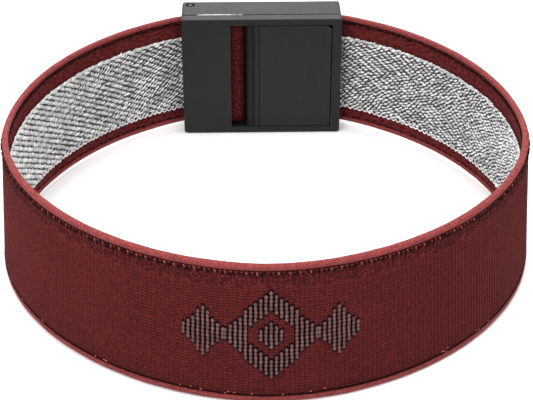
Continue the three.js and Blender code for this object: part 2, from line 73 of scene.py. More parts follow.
# Loop and hem, as in the CAD source.
LOOP_HALF_WIDTH = 34.8
LOOP_FRONT_REACH = 33.4
FRONT_EXPONENT = 1.85
BACK_ARC_RADIUS = 38.7
BAND_LEAN = 0.88
LEAN_SPAN = 8.6
CLASP_HALF = 12.3
MOUTH_EASE = 0.3
BAND_DEPTH = 3.05
FOLD_X = -3.85
FOLD_DEPTH = 2.15
FOLD_RADIUS = 0.9
HEM_END_X = -9.0
TAIL_END_X = -2.35
WIRE_RADIUS = 0.42
WIRE_BEND = 0.7
BAND_LIFT = 0.7

# Clasp.
CLASP_HEIGHT = 19.4
CLASP_DEPTH = 7.1
WINDOW_HIGH = 18.4
LID_PIN_X = -11.0
LID_PIN_DEPTH = 5.85
LID_PIN_RADIUS = 0.65
HUB_X = -1.7
HUB_DEPTH = 0.95
FLAP_PIN_RADIUS = 0.4
FLAP_PIN_FROM = 0.5
STUD_X = 1.7
STUD_Z = 9.7
STUD_RISE = 3.9
LEAF_DEPTH = 5.5
WIRE_TOP = 19.0
STITCH_X = -6.6
STITCH_DEPTH = 3.65
STITCH_RADIUS = 0.15
# The flap's recessed hub is darkened with painted shade, and part of the casing's seam gets a painted
# highlight here.
HUB_SHADE_SPAN = (-2.8, -0.92)
SEAM_HIGHLIGHT_X = (-9.9, -2.9)
SEAM_HIGHLIGHT_DEPTHS = (1.98, 2.18)

WRIST_FACE_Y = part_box("inner_plate")[0].y / MM
BACK_ARC_OFFSET = BACK_ARC_RADIUS - LOOP_HALF_WIDTH
MOUTH_ANGLE = math.acos((CLASP_HALF + MOUTH_EASE + BACK_ARC_OFFSET) / BACK_ARC_RADIUS)
LOOP_Y = WRIST_FACE_Y + BAND_DEPTH - BACK_ARC_RADIUS * math.sin(MOUTH_ANGLE)
LOOP_DEPTH = WRIST_FACE_Y - LOOP_Y + LOOP_FRONT_REACH


# ---- Shape of the band ----------------------------------------------------------------------------


def at_depth(depth):
    """The y of a depth below the clasp's wrist face."""
    return WRIST_FACE_Y + depth


def arc(centre, radius, start, end, steps):
    """Points of a round stretch between two angles."""
    t = np.linspace(start, end, steps)
    return np.c_[centre[0] + radius * np.cos(t), centre[1] + radius * np.sin(t)]


def front_half():
    """Half a superellipse, from the left end of the loop's width to the right end."""
    t = np.linspace(math.pi, 2 * math.pi, 900)
    power = 2 / FRONT_EXPONENT
    return np.c_[LOOP_HALF_WIDTH * np.sign(np.cos(t)) * np.abs(np.cos(t)) ** power,
                 LOOP_Y - LOOP_FRONT_REACH * np.abs(np.sin(t)) ** power]


def evenly(points, step):
    """points, spaced step apart along their line."""
    length = np.r_[0, np.cumsum(np.hypot(*np.diff(points, axis=0).T))]
    at = np.linspace(0, length[-1], max(2, round(length[-1] / step) + 1))
    return np.c_[np.interp(at, length, points[:, 0]), np.interp(at, length, points[:, 1])]


def eased(line, reach):
    """line with its bends spread over reach points on each side, and its ends kept."""
    kernel = np.hanning(2 * reach + 1)
    kernel /= kernel.sum()
    made = line.copy()
    for axis, values in enumerate(line.T):
        padded = np.r_[values[0] - (values[reach:0:-1] - values[0]), values,
                       2 * values[-1] - values[-2:-reach - 2:-1]]
        made[:, axis] = np.convolve(padded, kernel, "valid")
    return made


PATH_STEP = 0.05
EASE_POINTS = 28
fold = arc((FOLD_X, at_depth(FOLD_DEPTH)), FOLD_RADIUS, -math.pi / 2, math.pi / 2, 60)
loop = np.vstack([
    fold[-1:],
    arc((BACK_ARC_OFFSET, LOOP_Y), BACK_ARC_RADIUS, math.pi - MOUTH_ANGLE, math.pi, 400),
    front_half()[1:],
    arc((-BACK_ARC_OFFSET, LOOP_Y), BACK_ARC_RADIUS, 0, MOUTH_ANGLE, 400)[1:],
    [[TAIL_END_X, at_depth(BAND_DEPTH)]],
])
# The band bends over a short way where it leaves the mouths of the clasp.
loop = eased(evenly(loop, PATH_STEP), EASE_POINTS)
hem = evenly(np.vstack([[[HEM_END_X, at_depth(FOLD_DEPTH - FOLD_RADIUS)]], fold]), PATH_STEP)
path = evenly(np.vstack([hem, loop[1:]]), PATH_STEP)
along = np.gradient(path, axis=0)
along /= np.hypot(*along.T)[:, None]
outward = np.c_[along[:, 1], -along[:, 0]]
path_s = np.r_[0, np.cumsum(np.hypot(*np.diff(path, axis=0).T))]
BAND_LENGTH = path_s[-1]
on_loop = path_s > len(hem) * PATH_STEP
S_FOLD = len(hem) * PATH_STEP + FOLD_RADIUS + WIRE_RADIUS
S_LEFT = path_s[on_loop][np.argmax(path[on_loop, 0] < -CLASP_HALF)]
S_RIGHT = path_s[np.argmax((path_s > 0.6 * BAND_LENGTH) & (path[:, 0] < CLASP_HALF)
                           & (path[:, 1] > 0))]


def on_band(s, v, offset):
    """Places at s along the band, height v, and offset outwards from the middle of the web."""
    s, v, offset = np.broadcast_arrays(s, v, offset)
    x = np.interp(s, path_s, path[:, 0]) + np.interp(s, path_s, outward[:, 0]) * offset
    y = np.interp(s, path_s, path[:, 1]) + np.interp(s, path_s, outward[:, 1]) * offset
    forward = np.clip((WRIST_FACE_Y - y) / LOOP_DEPTH, 0, 1)
    lean = BAND_LEAN * (v - CLASP_HEIGHT / 2) / LEAN_SPAN * np.sin(forward * math.pi / 2)
    drop = BAND_LIFT * forward * forward * (3 - 2 * forward)
    away = np.hypot(x, y - LOOP_Y)
    return np.stack([x - lean * x / away, y - lean * (y - LOOP_Y) / away, v - drop], -1)


def outward_at(s):
    """Unit vectors out of the loop at s along the band."""
    n = np.stack([np.interp(s, path_s, outward[:, 0]), np.interp(s, path_s, outward[:, 1]),
                  np.zeros_like(s)], -1)
    return n / np.linalg.norm(n, axis=-1, keepdims=True)


# ---- Meshes ---------------------------------------------------------------------------------------


def add_mesh(name, verts, faces, uv=None, values=None):
    """An object from arrays: verts in mm, faces as a list of index arrays, uv one pair for each
    face corner in mm, and values as named floats for each vertex."""
    mesh = bpy.data.meshes.new(name)
    mesh.vertices.add(len(verts))
    mesh.vertices.foreach_set("co", (np.asarray(verts, float) * MM).astype(np.float32).ravel())
    corners = np.concatenate([f.ravel() for f in faces])
    sizes = np.concatenate([np.full(len(f), f.shape[1]) for f in faces])
    mesh.loops.add(len(corners))
    mesh.loops.foreach_set("vertex_index", corners.astype(np.int32))
    mesh.polygons.add(len(sizes))
    mesh.polygons.foreach_set("loop_start", np.r_[0, np.cumsum(sizes)[:-1]].astype(np.int32))
    mesh.polygons.foreach_set("loop_total", sizes.astype(np.int32))
    mesh.update(calc_edges=True)
    if uv is not None:
        layer = mesh.uv_layers.new(name="Weave")
        layer.data.foreach_set("uv", uv[corners].astype(np.float32).ravel())
    for key, numbers in (values or {}).items():
        attribute = mesh.attributes.new(key, "FLOAT", "POINT")
        attribute.data.foreach_set("value", np.asarray(numbers, np.float32).ravel())
    mesh.polygons.foreach_set("use_smooth", np.full(len(sizes), True))
    mesh.validate()
    piece = bpy.data.objects.new(name, mesh)
    bpy.context.scene.collection.objects.link(piece)
    return piece


def strip(name, s, v, offset, uv_v=None):
    """A closed strip along the band. s has one value for each section, v and offset are
    (sections, corners) arrays that go round each section."""
    count, around = v.shape
    verts = on_band(s[:, None], v, offset).reshape(-1, 3)
    i, j = np.meshgrid(np.arange(count - 1), np.arange(around), indexing="ij")
    k = (j + 1) % around
    quads = np.stack([i * around + j, (i + 1) * around + j, (i + 1) * around + k,
                      i * around + k], -1).reshape(-1, 4)
    first = np.arange(around)[None, :]
    last = ((count - 1) * around + np.arange(around))[None, ::-1]
    uv = np.stack([np.broadcast_to(s[:, None], v.shape), v if uv_v is None else uv_v], -1)
    return add_mesh(name, verts, [quads, first, last], uv.reshape(-1, 2))


def strands(centres, wide, deep, normals, sides):
    """Spindle-shaped strands. centres is (strands, rings, 3) in mm, wide and deep are
    (strands, rings) radii across and along the normals. Returns verts, faces and uv."""
    n, rings = centres.shape[:2]
    tangent = np.gradient(centres, axis=1)
    tangent /= np.linalg.norm(tangent, axis=-1, keepdims=True)
    up = normals - tangent * (normals * tangent).sum(-1, keepdims=True)
    up /= np.linalg.norm(up, axis=-1, keepdims=True)
    side = np.cross(tangent, up)
    turn = np.arange(sides) * 2 * math.pi / sides
    ring = (centres[:, :, None] + side[:, :, None] * (wide[:, :, None] * np.cos(turn))[..., None]
            + up[:, :, None] * (deep[:, :, None] * np.sin(turn))[..., None])
    tip_a = centres[:, 0] - tangent[:, 0] * wide[:, :1] * 0.7
    tip_b = centres[:, -1] + tangent[:, -1] * wide[:, -1:] * 0.7
    verts = np.concatenate([ring.reshape(n, -1, 3), tip_a[:, None], tip_b[:, None]], 1)
    each = rings * sides + 2
    a, b = np.meshgrid(np.arange(rings - 1), np.arange(sides), indexing="ij")
    c = (b + 1) % sides
    quad = np.stack([a * sides + b, a * sides + c, (a + 1) * sides + c, (a + 1) * sides + b],
                    -1).reshape(-1, 4)
    b = np.arange(sides)
    c = (b + 1) % sides
    low = np.stack([np.full(sides, each - 2), c, b], -1)
    high = np.stack([np.full(sides, each - 1), (rings - 1) * sides + b,
                     (rings - 1) * sides + c], -1)
    start = (np.arange(n) * each)[:, None, None]
    faces = [(quad[None] + start).reshape(-1, 4), (low[None] + start).reshape(-1, 3),
             (high[None] + start).reshape(-1, 3)]
    step = np.linalg.norm(np.diff(centres, axis=1), axis=-1)
    run = np.concatenate([np.zeros((n, 1)), np.cumsum(step, 1)], 1)
    uv = np.zeros((n, each, 2))
    uv[:, :rings * sides, 0] = np.repeat(run, sides, 1)
    uv[:, :rings * sides, 1] = np.tile(turn / (2 * math.pi), rings)
    uv[:, -2, 0], uv[:, -1, 0] = -wide[:, 0], run[:, -1] + wide[:, -1]
    return verts.reshape(-1, 3), faces, uv.reshape(-1, 2), each


def lay_strands(name, s, v, offset, wide, deep, sides=6, inner=False, tint=None):
    """Strands that lie on the band; every array is (strands, rings)."""
    normals = outward_at(s) * (-1 if inner else 1)
    verts, faces, uv, each = strands(on_band(s, v, offset), wide, deep, normals, sides)
    values = None if tint is None else {"Tint": np.repeat(tint, each)}
    return add_mesh(name, verts, faces, uv, values)


def dashes(start, end, v, offset, radius, rings=4, rise=0.0, deep=0.7):
    """Arrays for lay_strands: a run of short stitches with rounded ends."""
    t = np.linspace(0, 1, rings)[None, :]
    s = start[:, None] + (end - start)[:, None] * t
    swell = np.sqrt(np.clip(1 - (2 * t - 1) ** 4 * 0.6, 0, 1)) * radius[:, None]
    return s, v[:, None] + rise * 4 * t * (1 - t), np.full_like(s, offset), swell, swell * deep


def tube(name, points, radius, sides, per_mm):
    """A round wire or thread along a smooth line of points, with rounded ends."""
    points = np.asarray(points, float)
    step = np.linalg.norm(np.diff(points, axis=0), axis=1)
    length = np.r_[0, np.cumsum(step)]
    at = np.linspace(0, length[-1], max(4, int(length[-1] * per_mm)))
    line = np.stack([np.interp(at, length, points[:, k]) for k in range(3)], -1)
    ends = np.minimum(np.minimum(at, length[-1] - at) / (0.5 * radius), 1)
    girth = radius * np.sqrt(1 - (1 - ends) ** 2 * 0.75)
    normal = np.tile([0.31, 0.22, 0.93], (len(at), 1))
    if abs(np.dot(line[-1] - line[0], normal[0])) > 0.9 * np.linalg.norm(line[-1] - line[0]):
        normal = np.tile([1.0, 0.1, 0.0], (len(at), 1))
    verts, faces, uv, _ = strands(line[None], girth[None], girth[None], normal[None], sides)
    return add_mesh(name, verts, faces, uv)


def lathe(name, profile, origin, axis, steps=96):
    """A turned piece: profile is (radius, distance along the axis) from axis to axis."""
    profile = np.asarray(profile, float)
    turn = np.arange(steps) * 2 * math.pi / steps
    across = {"y": ((1, 0, 0), (0, 0, 1)), "z": ((1, 0, 0), (0, 1, 0))}[axis]
    way = {"y": (0, 1, 0), "z": (0, 0, 1)}[axis]
    middle = profile[1:-1]
    rings = (np.asarray(origin, float)[None, None]
             + middle[:, None, :1] * (np.cos(turn)[None, :, None] * across[0]
                                      + np.sin(turn)[None, :, None] * across[1])
             + middle[:, None, 1:] * np.asarray(way, float))
    ends = np.asarray(origin, float) + profile[[0, -1], 1:] * np.asarray(way, float)
    verts = np.vstack([rings.reshape(-1, 3), ends])
    a, b = np.meshgrid(np.arange(len(middle) - 1), np.arange(steps), indexing="ij")
    c = (b + 1) % steps
    quads = np.stack([a * steps + b, a * steps + c, (a + 1) * steps + c, (a + 1) * steps + b],
                     -1).reshape(-1, 4)
    b = np.arange(steps)
    c = (b + 1) % steps
    top = (len(middle) - 1) * steps
    first = np.stack([np.full(steps, len(verts) - 2), c, b], -1)
    last = np.stack([np.full(steps, len(verts) - 1), top + b, top + c], -1)
    piece = add_mesh(name, verts, [quads, first, last])
    fix_normals(piece.data)
    return piece


def fix_normals(mesh):
    """Turns a closed mesh's faces outwards."""
    bm = bmesh.new()
    bm.from_mesh(mesh)
    bmesh.ops.recalc_face_normals(bm, faces=bm.faces)
    bm.to_mesh(mesh)
    bm.free()


def rounded(points, radius, steps=4):
    """A profile with its inner corners rounded."""
    points = [np.array(p, float) for p in points]
    made = [points[0]]
    for before, here, after in zip(points, points[1:], points[2:]):
        a, b = before - here, after - here
        r = min(radius, 0.45 * np.linalg.norm(a), 0.45 * np.linalg.norm(b))
        a, b = here + a / np.linalg.norm(a) * r, here + b / np.linalg.norm(b) * r
        for t in np.linspace(0, 1, steps):
            made.append((1 - t) ** 2 * a + 2 * t * (1 - t) * here + t * t * b)
    return np.array(made + [points[-1]])


SHARP_ANGLE = math.radians(30)
FLAT_ANGLE = math.radians(2)
WELD_DISTANCE = 2e-6


def bevelled(node, name, width):
    """A copy of a CAD node with its edges rounded. The rounding is marked as Edge, for wear and, on
    the flap, painted highlight.
    """
    bm = bmesh.new()
    bm.from_mesh(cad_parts[node].data)
    bmesh.ops.remove_doubles(bm, verts=bm.verts, dist=WELD_DISTANCE)
    bmesh.ops.dissolve_limit(bm, angle_limit=FLAT_ANGLE, verts=bm.verts, edges=bm.edges)
    bmesh.ops.recalc_face_normals(bm, faces=bm.faces)
    edge_layer = bm.faces.layers.float.new("Edge")
    sharp = [e for e in bm.edges if len(e.link_faces) == 2
             and e.calc_face_angle(0) > SHARP_ANGLE]
    made = bmesh.ops.bevel(bm, geom=sharp, offset=width * MM, segments=3, profile=0.5,
                           affect="EDGES", clamp_overlap=True)
    for face in made["faces"]:
        face[edge_layer] = 1.0
    bmesh.ops.triangulate(bm, faces=[f for f in bm.faces if len(f.verts) > 4])
    mesh = bpy.data.meshes.new(name)
    bm.to_mesh(mesh)
    bm.free()
    for polygon in mesh.polygons:
        polygon.use_smooth = True
    piece = bpy.data.objects.new(name, mesh)
    bpy.context.scene.collection.objects.link(piece)
    smooth = piece.modifiers.new("Weighted", "WEIGHTED_NORMAL")
    smooth.keep_sharp = True
    smooth.weight = 100
    return piece


# ---- Materials ------------------------------------------------------------------------------------


def srgb(*levels):
    """Linear colour from 8-bit screen levels."""
    c = np.array(levels, float) / 255
    return tuple(np.where(c <= 0.04045, c / 12.92, ((c + 0.055) / 1.055) ** 2.4)) + (1.0,)


class Finish:
    """A material with short calls for its nodes. An argument that is a socket is linked."""

    def __init__(self, name, roughness, metallic=0.0, **sockets):
        self.material = bpy.data.materials.new(name)
        self.material.use_nodes = True
        self.nodes = self.material.node_tree.nodes
        self.links = self.material.node_tree.links
        self.shader = self.nodes["Principled BSDF"]
        self.set(self.shader, "Roughness", roughness)
        self.set(self.shader, "Metallic", metallic)
        for key, value in sockets.items():
            self.set(self.shader, key.replace("_", " "), value)

    def set(self, node, key, value):
        socket = node.inputs[key]
        if isinstance(value, bpy.types.NodeSocket):
            self.links.new(value, socket)
        else:
            socket.default_value = value

    def add(self, kind, inputs=(), **settings):
        node = self.nodes.new("ShaderNode" + kind)
        for key, value in settings.items():
            setattr(node, key, value)
        for key, value in dict(inputs).items():
            self.set(node, key, value)
        return node

    def math(self, operation, *values):
        inputs = {i: value for i, value in enumerate(values)}
        return self.add("Math", inputs, operation=operation).outputs[0]

    def uv(self):
        """Sockets with s and v along and across the band or strand, in mm."""
        split = self.add("SeparateXYZ", {0: self.add("UVMap", uv_map="Weave").outputs[0]})
        return split.outputs[0], split.outputs[1]

    def vector(self, x, y):
        return self.add("CombineXYZ", {0: x, 1: y}).outputs[0]

    def place(self):
        """A socket with the place in metres."""
        return self.add("TexCoord").outputs["Object"]

    def within(self, value, low, high):
        """1 where value, in metres, lies between low and high, in mm."""
        return self.math("MULTIPLY", self.math("GREATER_THAN", value, low * MM),
                         self.math("LESS_THAN", value, high * MM))

    def noise(self, vector, scale, detail=2.0, rough=0.5):
        inputs = {"Vector": vector, "Scale": scale, "Detail": detail, "Roughness": rough}
        return self.add("TexNoise", inputs).outputs[0]

    def cells(self, vector, scale):
        return self.add("TexVoronoi", {"Vector": vector, "Scale": scale}).outputs["Distance"]

    def wave(self, phase):
        """0 to 1 and back once for each whole step of phase."""
        turned = self.math("SINE", self.math("MULTIPLY", phase, 2 * math.pi))
        return self.math("MULTIPLY_ADD", turned, 0.5, 0.5)

    def spread(self, value, low, high, to_low=0.0, to_high=1.0):
        """value between low and high, stretched to run from to_low to to_high."""
        inputs = {0: value, 1: low, 2: high, 3: to_low, 4: to_high}
        return self.add("MapRange", inputs).outputs[0]

    def mix(self, factor, a, b):
        node = self.add("Mix", data_type="RGBA")
        self.set(node, 0, factor)
        self.set(node, 6, a)
        self.set(node, 7, b)
        return node.outputs[2]

    def colour(self, value):
        self.set(self.shader, "Base Color", value)

    def bump(self, height, distance):
        """Relief of distance mm, on top of any relief set before."""
        inputs = {"Height": height, "Distance": distance * MM, "Strength": 1.0}
        if self.shader.inputs["Normal"].is_linked:
            inputs["Normal"] = self.shader.inputs["Normal"].links[0].from_socket
        node = self.add("Bump", inputs)
        self.set(self.shader, "Normal", node.outputs[0])


def web_finish():
    """Wine red elastic web: wavy courses across the height, broken into dashes, over wales. The
    inner side is plainer."""
    f = Finish("wine_red_web", 0.85, Sheen_Weight=0.05, Sheen_Roughness=0.5,
               Sheen_Tint=srgb(225, 120, 118), Specular_IOR_Level=0.04)
    u, v = f.uv()
    outside = f.math("LESS_THAN", v, 0.5 * INNER_SIDE)
    wale = f.wave(f.math("DIVIDE", u, WALE))
    drift = f.noise(f.vector(f.math("MULTIPLY", u, 0.5), f.math("MULTIPLY", v, 0.9)), 1.0, 2.0)
    phase = f.math("DIVIDE", v, COURSE)
    phase = f.math("MULTIPLY_ADD", wale, 0.3, phase)
    phase = f.math("MULTIPLY_ADD", drift, 1.3, phase)
    course = f.wave(phase)
    row = f.math("FLOOR", phase)
    shift = f.math("MULTIPLY", row, 7.37)
    broken = f.noise(f.vector(f.math("MULTIPLY", u, 2.3), shift), 1.0, 1.0)
    broken = f.spread(broken, 0.34, 0.66)
    dash = f.math("MULTIPLY", course, f.math("MULTIPLY_ADD", broken, 0.7, 0.3))
    between = f.spread(wale, 0.0, 0.42, 0.45, 1.0)
    grain = f.noise(f.vector(u, f.math("MULTIPLY", v, 1.3)), 3.1, 3.0, 0.65)
    dash = f.math("MULTIPLY", dash, between)
    dash = f.math("MULTIPLY_ADD", f.math("SUBTRACT", grain, 0.5), 0.9, f.math("ADD", dash, 0.06))
    blotch = f.noise(f.vector(u, v), 0.16, 3.0, 0.6)
    near_top = f.math("MULTIPLY", f.spread(v, 15.4, 16.2), outside)
    coarse = f.cells(f.vector(u, f.math("MULTIPLY", v, 1.5)), 1.7)
    coarse = f.spread(coarse, 0.15, 0.62)
    level = f.mix(near_top, dash, f.math("MULTIPLY_ADD", coarse, 0.55,
                                         f.math("MULTIPLY", dash, 0.45)))
    speckle = f.noise(f.vector(f.math("MULTIPLY", u, 0.5), v), 2.6, 3.0, 0.7)
    level = f.mix(outside, f.spread(speckle, 0.36, 0.64, -0.04, 1.18), level)
    deep = f.mix(blotch, srgb(48, 14, 14), srgb(63, 20, 20))
    bright = f.mix(blotch, srgb(98, 36, 35), srgb(113, 44, 44))
    # Painted shade: the hem, sunk inside the clasp's slot, is mixed towards near-black.
    hem = f.math("LESS_THAN", u, S_FOLD - 0.8)
    woven = f.mix(level, deep, bright)
    f.colour(f.mix(f.math("MULTIPLY", hem, 0.45), woven, srgb(30, 9, 9)))
    f.bump(f.math("ADD", level, f.math("MULTIPLY", coarse, near_top)), 0.06)
    f.bump(f.math("MULTIPLY", wale, outside), 0.04)
    f.bump(f.noise(f.place(), 16000.0, 2.0), 0.02)
    return f.material


def lip_finish():
    """Lighter red yarn laid across the rounded edge, in fine ribs."""
    f = Finish("rose_red_edge", 0.8, Sheen_Weight=0.06, Sheen_Roughness=0.4,
               Sheen_Tint=srgb(240, 160, 158), Specular_IOR_Level=0.12)
    u, v = f.uv()
    slant = f.math("MULTIPLY_ADD", v, 1.6, f.math("DIVIDE", u, LIP_RIB))
    slant = f.math("ADD", slant, f.math("MULTIPLY", f.noise(f.vector(u, v), 1.3), 2.4))
    rib = f.wave(slant)
    patch = f.noise(f.vector(f.math("MULTIPLY", u, 0.9), f.math("MULTIPLY", v, 1.6)), 1.6, 4.0, 0.7)
    level = f.math("MULTIPLY_ADD", rib, 0.2, f.math("MULTIPLY", patch, 0.8))
    f.colour(f.mix(f.spread(level, 0.34, 0.64), srgb(92, 37, 37), srgb(156, 71, 71)))
    f.bump(rib, 0.012)
    f.bump(f.noise(f.place(), 9000.0, 2.0), 0.03)
    return f.material


def yarn_finish(name, dark, light, roughness=0.8, metallic=0.0, tinted=False, twist=0.32,
                shine=0.06):
    """Twisted yarn or thread: plies wind round it, and each strand may have its own tint."""
    f = Finish(name, roughness, metallic, Specular_IOR_Level=shine)
    u, v = f.uv()
    ply = f.wave(f.math("ADD", f.math("DIVIDE", u, twist), f.math("MULTIPLY", v, 2.0)))
    fuzz = f.noise(f.place(), 7000.0, 2.0)
    level = f.math("MULTIPLY_ADD", ply, 0.4, f.math("MULTIPLY", fuzz, 0.6))
    if tinted:
        tint = f.add("Attribute", attribute_name="Tint").outputs["Fac"]
        level = f.math("MULTIPLY_ADD", f.math("SUBTRACT", tint, 0.5), 1.2, level)
    f.colour(f.mix(f.spread(level, 0.15, 0.85), srgb(*dark), srgb(*light)))
    f.bump(ply, 0.015)
    return f.material


def knit_ground_finish():
    """What shows between the loops: shadowed silver yarn with a little of the red ground."""
    f = Finish("silver_ground", 0.7, 0.2, Specular_IOR_Level=0.2)
    u, v = f.uv()
    speck = f.noise(f.vector(u, v), 2.2, 2.0)
    rare = f.spread(f.noise(f.vector(u, v), 0.7, 1.0), 0.72, 0.76)
    grey = f.mix(speck, srgb(40, 39, 39), srgb(98, 96, 95))
    f.colour(f.mix(rare, grey, srgb(104, 44, 44)))
    f.bump(speck, 0.05)
    return f.material


def plastic_finish(name, wear_and_highlight, rubbing_and_highlight, dark=None):
    """Fine spark-eroded grain on black plastic, rubbed smoother and paler along its edges, where on
    the flap the paler edges are also painted highlight, and a painted highlight along a part of the
    seam. Between the two x of dark, in mm, painted shade makes it darker."""
    f = Finish(name, 0.5, Specular_IOR_Level=0.26)
    place = f.place()
    x, y, z = f.add("SeparateXYZ", {0: place}).outputs[:3]
    grain = f.noise(place, 5200.0, 3.0, 0.65)
    cloud = f.noise(place, 260.0, 3.0)
    edge = f.add("Attribute", attribute_name="Edge").outputs["Fac"]
    rubbed = f.math("MULTIPLY", edge, f.spread(f.noise(place, 420.0, 2.0), 0.35, 0.65, 0.35, 1.0))
    fleck = f.spread(grain, 0.55, 0.75)
    base_colour = f.mix(cloud, srgb(18, 18, 19), srgb(24, 24, 25))
    base_colour = f.mix(f.math("MULTIPLY", fleck, 0.35), base_colour, srgb(*wear_and_highlight))
    base_colour = f.mix(f.math("MULTIPLY", rubbed, rubbing_and_highlight), base_colour, srgb(*wear_and_highlight))
    # Painted shade: between the two x of dark, the flap's recessed hub is mixed to near-black.
    if dark:
        base_colour = f.mix(f.within(x, *dark), base_colour, srgb(4, 4, 5))
    # Painted highlight: a pale line along part of the seam's top edge, where it catches the light.
    seam_highlight = f.spread(f.noise(place, 620.0, 3.0, 0.7), 0.4, 0.56)
    for socket, low, high in ((y, *map(at_depth, SEAM_HIGHLIGHT_DEPTHS)), (x, *SEAM_HIGHLIGHT_X),
                              (z, CLASP_HEIGHT - 0.25, CLASP_HEIGHT + 0.1)):
        seam_highlight = f.math("MULTIPLY", seam_highlight, f.within(socket, low, high))
    f.colour(f.mix(seam_highlight, base_colour, srgb(190, 190, 190)))
    rough = f.math("MULTIPLY_ADD", cloud, 0.12, 0.46)
    f.set(f.shader, "Roughness", f.math("MULTIPLY_ADD", rubbed, -0.12, rough))
    f.bump(grain, 0.08)
    return f.material


def metal_finish(name, light, dark, roughness, brushed=0.0):
    """Plated or drawn metal with fine scratches and a few dull patches."""
    f = Finish(name, roughness, 1.0, Anisotropic=brushed)
    place = f.place()
    patch = f.noise(place, 420.0, 3.0)
    scratch = f.noise(place, 9000.0, 3.0, 0.7)
    f.colour(f.mix(f.spread(patch, 0.3, 0.7), srgb(*light), srgb(*dark)))
    f.set(f.shader, "Roughness", f.math("MULTIPLY_ADD", patch, 0.16, roughness - 0.06))
    f.bump(scratch, 0.004)
    return f.material


web = web_finish()
lip = lip_finish()
dark_thread = yarn_finish("dark_stitch", (20, 6, 7), (46, 15, 16), twist=0.3)
zigzag_thread = yarn_finish("zigzag_stitch", (40, 13, 14), (82, 29, 29), twist=0.3)
black_thread = yarn_finish("black_stitch", (9, 4, 5), (32, 12, 13), twist=0.3)
fleck_thread = yarn_finish("pale_fleck", (150, 70, 70), (200, 112, 110))
knot_thread = yarn_finish("fold_knots", (74, 20, 23), (134, 41, 46), twist=0.3)
sewing = yarn_finish("sewing_thread", (62, 18, 20), (120, 40, 42), twist=0.4)
motif_yarn = yarn_finish("motif_yarn", (80, 54, 54), (124, 92, 91), tinted=True, twist=0.22)
silver = yarn_finish("silver_yarn", (178, 177, 177), (250, 250, 250), 0.5, 0.3, tinted=True,
                     twist=0.9, shine=0.5)
silver_ground = knit_ground_finish()
plastic = plastic_finish("black_moulded", (52, 52, 53), 0.5)
# The flap's paler, more rubbed edges are partly painted highlight, for the light lines along its
# upper and lower edges; its hub gets painted shade.
flap_plastic = plastic_finish("black_moulded_flap", (92, 92, 93), 0.8, dark=HUB_SHADE_SPAN)
nickel = metal_finish("nickel_plate", (158, 156, 151), (134, 132, 128), 0.27)
steel = metal_finish("spring_steel", (178, 179, 182), (140, 141, 144), 0.32, 0.4)
dark_steel = metal_finish("blackened_pin", (58, 58, 60), (38, 38, 40), 0.45)


def piece_of(piece, finish, body, slot, *replaced):
    """Finishes a piece, attaches it to its body and hides the CAD nodes it stands for. slot is not
    used.
    """
    piece.data.materials.clear()
    piece.data.materials.append(finish)
    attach(piece, body)
    if replaced:
        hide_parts(*replaced)
    return piece


# ---- Band -----------------------------------------------------------------------------------------

CORD_FROM = S_FOLD
CORD_TO = BAND_LENGTH - 0.5
KNIT_FROM = S_LEFT - 1.2

# Relief of the web's faces.
RIB_RELIEF = 0.035
INNER_RELIEF_SHARE = 0.3
RUFFLE_FROM = 15.6
RUFFLE_RELIEF = 0.06
RUFFLE_LENGTH = 1.2
RUFFLE_HEIGHT = 0.9
EDGE_FADE = 0.3
EDGE_THINNING = 0.06


def woven_web():
    """The web, ribbed by its wales on the outer face and rougher under the upper edge."""
    columns = np.arange(0, BAND_LENGTH, WALE / 4)
    outer_v = np.r_[np.linspace(WEB_LOW, 15.5, 12), np.linspace(15.75, WEB_HIGH, 9)]
    inner_v = np.r_[WEB_HIGH, np.linspace(17.2, 2.2, 7), WEB_LOW]
    s, v = np.meshgrid(columns, np.r_[outer_v, inner_v], indexing="ij")
    side = np.r_[np.ones(len(outer_v)), -np.ones(len(inner_v))][None, :]
    ruffle = np.clip((v - RUFFLE_FROM) / 0.8, 0, 1) * (side > 0)
    rising = np.sin(2 * math.pi * (s / RUFFLE_LENGTH + v / RUFFLE_HEIGHT))
    falling = np.sin(2 * math.pi * (s / RUFFLE_LENGTH - v / RUFFLE_HEIGHT))
    relief = RIB_RELIEF * np.cos(2 * math.pi * s / WALE) + ruffle * RUFFLE_RELIEF * rising * falling
    relief = relief * np.where(side > 0, 1, INNER_RELIEF_SHARE)
    edge_fade = np.clip(np.minimum(v - WEB_LOW, WEB_HIGH - v) / EDGE_FADE, 0, 1)
    offset = side * (WEB_HALF - EDGE_THINNING * (1 - edge_fade)) + side * relief * edge_fade
    # The hem has no rounded edge of its own, so the web itself fills the window up to its top.
    in_hem = np.clip((S_FOLD - 0.5 - s) / 0.3, 0, 1) * np.clip((v - 15) / 2, 0, 1)
    v = v + (WINDOW_HIGH - 0.1 - WEB_HIGH) * in_hem
    piece = strip("woven_band", columns, v, offset, v + np.where(side > 0, 0, INNER_SIDE))
    fix_normals(piece.data)
    return piece_of(piece, web, "root", "woven_elastic", "elastic_band")


def rounded_edge(name, centre, node):
    """A rounded, paler edge of the band, a little uneven along its length."""
    s = np.arange(S_FOLD - 0.6, BAND_LENGTH, 0.16)
    uneven = np.arange(0, BAND_LENGTH + 2, 1.7)
    swell = 1 + 0.05 * np.interp(s, uneven, rng.uniform(-1, 0.6, len(uneven)))
    swell = (swell + 0.008 * np.sin(2 * math.pi * s / LIP_RIB))[:, None]
    turns = np.linspace(0, 2 * math.pi, 15)[:-1]
    boxy = np.sign(np.cos(turns)) * np.abs(np.cos(turns)) ** 0.65
    v = centre + 0.5 * LIP_HEIGHT * swell * np.sin(turns)
    round_it = np.broadcast_to(turns / (2 * math.pi) * LIP_GIRTH, v.shape)
    edge = strip(name, s, v, LIP_DEPTH * swell * boxy, round_it)
    fix_normals(edge.data)
    piece_of(edge, lip, "root", "edge_yarn", node)


